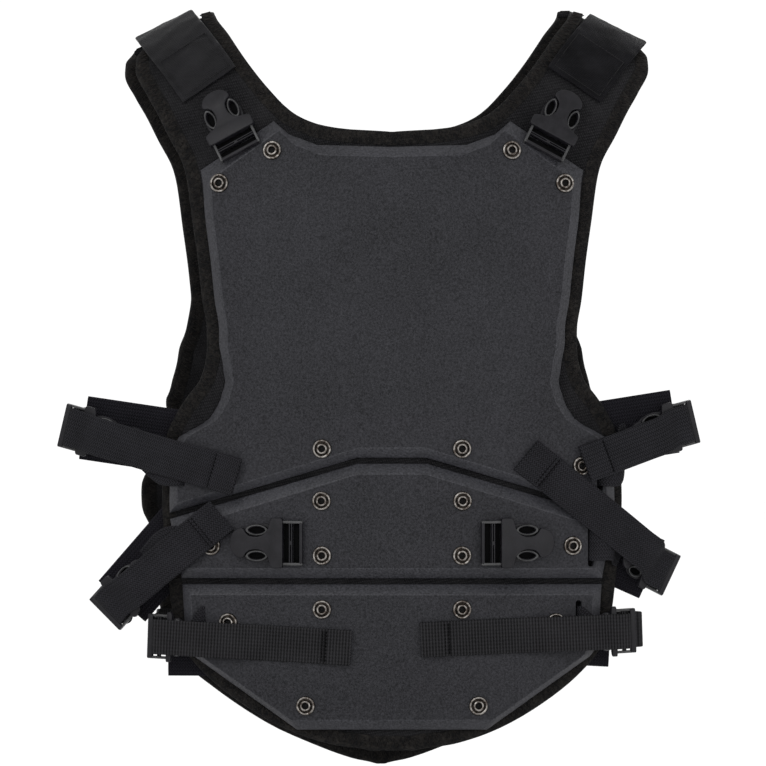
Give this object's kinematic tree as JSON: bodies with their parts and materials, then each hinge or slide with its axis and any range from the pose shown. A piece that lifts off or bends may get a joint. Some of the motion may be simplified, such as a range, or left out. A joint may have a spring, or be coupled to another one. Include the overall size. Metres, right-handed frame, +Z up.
{
  "type": "tactical vest",
  "caption": "hard-shell tactical vest: bevelled foam plates on a neoprene front and back carrier, shoulder straps, splayed side straps with side-release buckles, press studs",
  "frame": {"origin": "midway between the two shoulders, on the line where the shoulder tongues fold over", "axes": "+Z up, the front panel faces -Y, +X to the viewer's right when seen from the front"},
  "size_m": [0.5036, 0.2308, 0.5902],
  "materials": {
    "neoprene": "knit-faced foam rubber, matt, overlocked edge",
    "foam": "closed-cell foam, charcoal, fine grain, dull sheen on the bevels",
    "webbing": "woven nylon webbing, black",
    "flap": "double woven nylon, black",
    "plastic": "moulded acetal, satin dark grey",
    "nickel": "nickel-plated press stud, worn bright"
  },
  "bodies": {
    "root": {"anchor_web_lower_left": "webbing", "anchor_web_lower_right": "webbing", "anchor_web_middle_left": "webbing", "anchor_web_middle_right": "webbing", "anchor_web_upper_left": "webbing", "anchor_web_upper_right": "webbing", "back_lower_plate": "foam", "back_middle_plate": "foam", "back_neoprene": "neoprene", "back_upper_plate": "foam", "belly_buckle_left": "plastic", "belly_buckle_right": "plastic", "front_lower_plate": "foam", "front_middle_plate": "foam", "front_neoprene": "neoprene", "front_upper_plate": "foam", "shoulder_buckle_left": "plastic", "shoulder_buckle_right": "plastic", "shoulder_strap_left": "webbing", "shoulder_strap_right": "webbing", "side_buckle_lower_left": "plastic", "side_buckle_lower_right": "plastic", "side_buckle_middle_left": "plastic", "side_buckle_middle_right": "plastic", "side_buckle_upper_left": "plastic", "side_buckle_upper_right": "plastic", "side_flap_lower_left": "flap", "side_flap_lower_right": "flap", "side_flap_middle_left": "flap", "side_flap_middle_right": "flap", "side_flap_upper_left": "flap", "side_flap_upper_right": "flap", "side_strap_lower_left": "webbing", "side_strap_lower_right": "webbing", "side_strap_middle_left": "webbing", "side_strap_middle_right": "webbing", "side_strap_upper_left": "webbing", "side_strap_upper_right": "webbing", "snap_belly_high_left": "nickel", "snap_belly_high_right": "nickel", "snap_belly_low_left": "nickel", "snap_belly_low_right": "nickel", "snap_belly_side_left": "nickel", "snap_belly_side_right": "nickel", "snap_chevron_left": "nickel", "snap_chevron_right": "nickel", "snap_flank_left": "nickel", "snap_flank_right": "nickel", "snap_hem_high_left": "nickel", "snap_hem_high_right": "nickel", "snap_hem_low_left": "nickel", "snap_hem_low_right": "nickel", "snap_hem_side_left": "nickel", "snap_hem_side_right": "nickel", "snap_neck_left": "nickel", "snap_neck_right": "nickel", "snap_shoulder_left": "nickel", "snap_shoulder_right": "nickel"}
  },
  "joints": []
}
